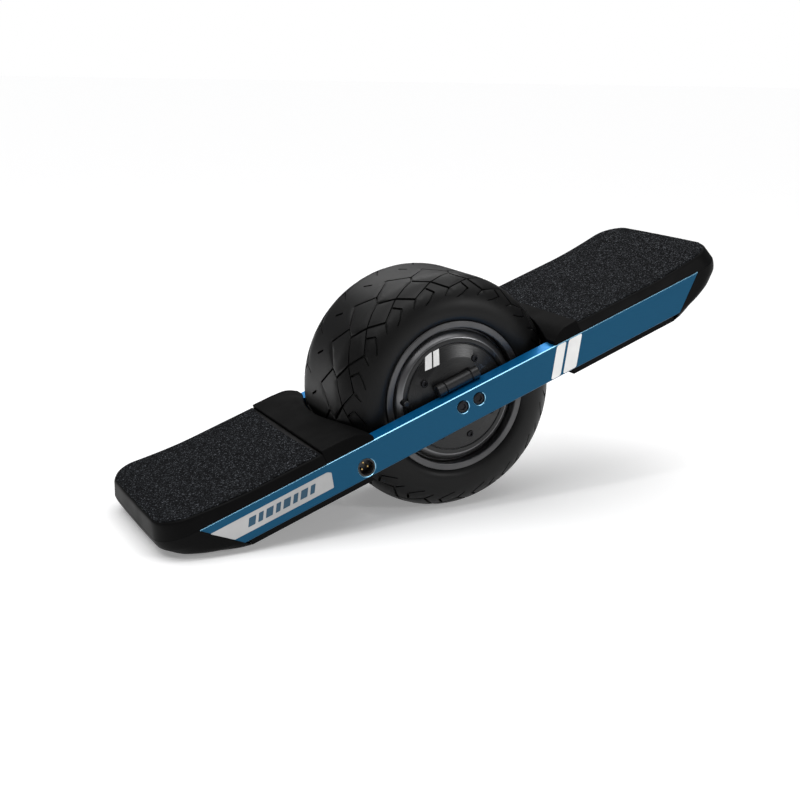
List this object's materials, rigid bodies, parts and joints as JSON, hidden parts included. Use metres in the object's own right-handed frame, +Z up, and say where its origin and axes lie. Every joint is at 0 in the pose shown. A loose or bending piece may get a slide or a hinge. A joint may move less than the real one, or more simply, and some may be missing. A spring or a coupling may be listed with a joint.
{
  "type": "one-wheel self-balancing board",
  "caption": "Self-balancing board with a fat central tyre and hub motor between gritty footpads on blue side rails, standing tipped on its tail.",
  "frame": {"origin": "on the floor, under the middle of the bounding box of the board as it stands tipped on its tail", "axes": "+X towards the raised front end, +Y to the rider's left, +Z up"},
  "size_m": [0.7504, 0.236, 0.3203],
  "materials": {
    "blue_anodised": "satin anodised",
    "black_plastic": "fine moulded grain",
    "grip": "coarse grit",
    "tyre": "matte",
    "dark_aluminium": "satin, dark coated",
    "steel": "machined",
    "black_steel": "black oxide",
    "copper": "enamelled wire",
    "smoked_lens": "smoked gloss",
    "cells": "shrink wrapped",
    "circuit": "solder mask",
    "sensor_film": "film",
    "cable": "satin",
    "socket_plastic": "satin",
    "button_metal": "satin"
  },
  "bodies": {
    "chassis": {"axle": "steel", "axle_block_left": "dark_aluminium", "axle_block_right": "dark_aluminium", "axle_bolt_left_1": "black_steel", "axle_bolt_left_2": "black_steel", "axle_bolt_right_1": "black_steel", "axle_bolt_right_2": "black_steel", "battery_box": "black_plastic", "battery_lid": "black_plastic", "battery_monitor_board": "circuit", "battery_pack": "cells", "bumper_screw_front_left": "black_steel", "bumper_screw_front_right": "black_steel", "bumper_screw_rear_left": "black_steel", "bumper_screw_rear_right": "black_steel", "button_bezel": "black_plastic", "charge_port": "socket_plastic", "controller_board": "circuit", "controller_box": "black_plastic", "controller_lid": "black_plastic", "foot_sensor": "sensor_film", "footpad_screw_front_left": "black_steel", "footpad_screw_front_right": "black_steel", "footpad_screw_rear_left": "black_steel", "footpad_screw_rear_right": "black_steel", "front_bumper": "black_plastic", "front_fender": "black_plastic", "front_footpad": "black_plastic", "front_grip": "grip", "front_light_lens": "smoked_lens", "motor_cable": "cable", "motor_connector": "socket_plastic", "rail_left": "blue_anodised", "rail_right": "blue_anodised", "rear_bumper": "black_plastic", "rear_fender": "black_plastic", "rear_footpad": "black_plastic", "rear_grip": "grip", "rear_light_lens": "smoked_lens", "stator": "steel", "stator_hub": "dark_aluminium", "winding_left": "copper", "winding_right": "copper"},
    "wheel": {"bearing_left": "steel", "bearing_right": "steel", "cover_screw_left_1": "black_steel", "cover_screw_left_2": "black_steel", "cover_screw_left_3": "black_steel", "cover_screw_right_1": "black_steel", "cover_screw_right_2": "black_steel", "cover_screw_right_3": "black_steel", "hub_cover_left": "dark_aluminium", "hub_cover_right": "dark_aluminium", "magnet_ring": "steel", "rim": "dark_aluminium", "tyre": "tyre", "valve_cap": "black_plastic", "valve_stem": "black_plastic"},
    "power_button": {"power_button": "button_metal"}
  },
  "joints": [
    {"name": "wheel_spin", "type": "hinge", "parent": "chassis", "child": "wheel", "pos_m": [0.005, 0, 0.146], "axis": [0, 1, 0], "continuous": true},
    {"name": "power_button_press", "type": "slide", "parent": "chassis", "child": "power_button", "axis": [0, -1, 0], "range_m": [0, 0.0015], "stiffness_N_per_m": 400}
  ]
}
